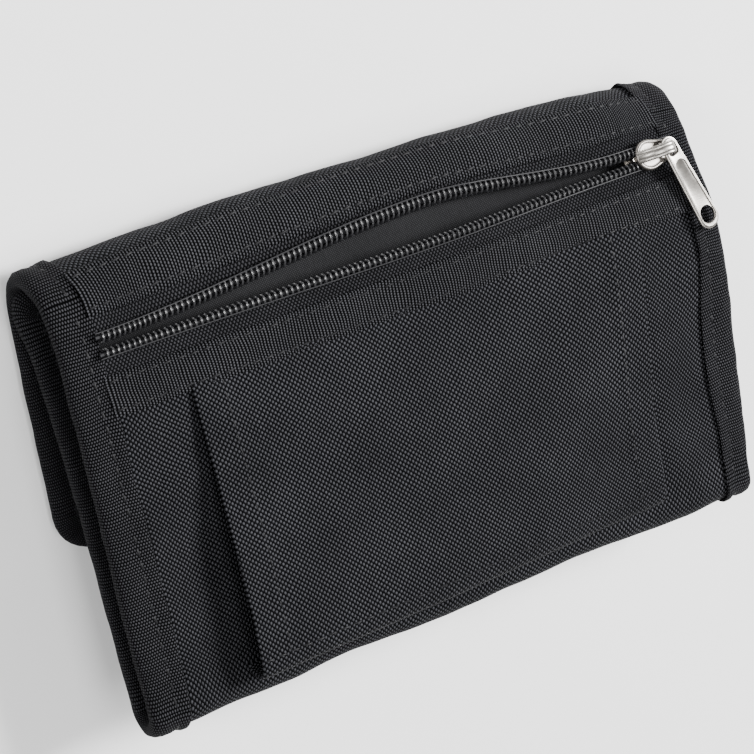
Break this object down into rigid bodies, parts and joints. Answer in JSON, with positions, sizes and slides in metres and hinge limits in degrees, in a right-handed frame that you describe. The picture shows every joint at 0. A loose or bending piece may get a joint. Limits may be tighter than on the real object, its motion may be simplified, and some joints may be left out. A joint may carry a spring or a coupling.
{
  "type": "passport holder",
  "caption": "Folding fabric travel wallet with a zipped back pocket, a belt loop, a front flap and an inner panel, lying closed on its flap.",
  "frame": {"origin": "middle of the base, under the centre of the bounding box", "axes": "+X across the wallet, +Y from the bottom fold to the rolled top fold, +Z out of the back panel"},
  "size_m": [0.184, 0.1148, 0.0393],
  "materials": {
    "shell_cloth": "matt woven polyester with a faint glint",
    "edge_tape": "fine ribbed tape",
    "webbing": "ribbed webbing",
    "lining_cloth": "fine smooth lining",
    "zip_tape": "knitted tape",
    "zip_coil": "nylon coil, slight sheen",
    "closure_tape": "hook and loop pile",
    "zip_metal": "satin nickel plate, slightly worn"
  },
  "bodies": {
    "back": {"pocket_panel": "shell_cloth", "crest_panel": "shell_cloth", "pocket_back": "lining_cloth", "pocket_lining": "lining_cloth", "crest_lining": "lining_cloth", "binding_left": "edge_tape", "binding_right": "edge_tape", "belt_loop": "shell_cloth", "webbing_upper": "webbing", "fold_back_shell": "shell_cloth", "fold_back_lining": "lining_cloth", "fold_back_binding": "edge_tape", "bottom_fold_shell": "shell_cloth", "bottom_fold_binding": "edge_tape"},
    "upper_lip": {"zip_coil_upper": "zip_coil", "zip_tape_upper": "zip_tape"},
    "lower_lip": {"zip_coil_lower": "zip_coil", "zip_tape_lower": "zip_tape", "webbing_lower": "webbing"},
    "slider": {"slider_top_plate": "zip_metal", "slider_bottom_plate": "zip_metal", "slider_post": "zip_metal", "slider_bail": "zip_metal"},
    "puller": {"puller": "zip_metal"},
    "spine": {"spine_shell": "shell_cloth", "spine_lining": "lining_cloth", "spine_binding": "edge_tape", "fold_front_shell": "shell_cloth", "fold_front_lining": "lining_cloth", "fold_front_binding": "edge_tape"},
    "flap": {"flap_shell": "shell_cloth", "flap_lining": "lining_cloth", "flap_binding": "edge_tape", "hook_tape": "closure_tape"},
    "inner_panel": {"inner_panel_shell": "shell_cloth", "inner_panel_lining": "lining_cloth", "inner_panel_binding": "edge_tape", "loop_tape": "closure_tape", "card_pockets": "lining_cloth"}
  },
  "joints": [
    {"name": "fold_back", "type": "hinge", "parent": "back", "child": "spine", "pos_m": [0, 0.05355, 0.01708], "axis": [1, 0, 0], "range_deg": [0, 90], "deforming": ["fold_back_shell", "fold_back_lining", "fold_back_binding", "webbing_upper"]},
    {"name": "fold_front", "type": "hinge", "parent": "spine", "child": "flap", "pos_m": [0, 0.05042, 0.00297], "axis": [1, 0, 0], "range_deg": [0, 90], "deforming": ["fold_front_shell", "fold_front_lining", "fold_front_binding"]},
    {"name": "inner_panel_fold", "type": "hinge", "parent": "back", "child": "inner_panel", "pos_m": [0, -0.0515, 0.0255], "axis": [-1, 0, 0], "range_deg": [0, 12], "deforming": ["bottom_fold_shell", "bottom_fold_binding"]},
    {"name": "zip_slider", "type": "slide", "parent": "back", "child": "slider", "axis": [1, 0, 0], "range_m": [-0.152, 0]},
    {"name": "upper_lip_close", "type": "slide", "parent": "back", "child": "upper_lip", "axis": [0, -0.9397, 0.342], "range_m": [0, 0.005], "deforming": ["zip_coil_upper", "zip_tape_upper"]},
    {"name": "lower_lip_close", "type": "hinge", "parent": "back", "child": "lower_lip", "pos_m": [0, 0.024, 0.031], "axis": [-1, 0, 0], "range_deg": [0, 13.2], "deforming": ["zip_coil_lower", "zip_tape_lower", "webbing_lower"]},
    {"name": "puller_swivel", "type": "hinge", "parent": "slider", "child": "puller", "pos_m": [0.0804, 0.04246, 0.03056], "axis": [0, 0.1736, 0.9848], "range_deg": [-50, 150]}
  ],
  "couplings": [
    {"joint": "fold_front", "follows": "fold_back", "ratio": 1},
    {"joint": "inner_panel_fold", "follows": "fold_back", "ratio": 0.13},
    {"joint": "upper_lip_close", "follows": "zip_slider", "ratio": -0.0328},
    {"joint": "lower_lip_close", "follows": "zip_slider", "rad_per_m": -1.504}
  ]
}
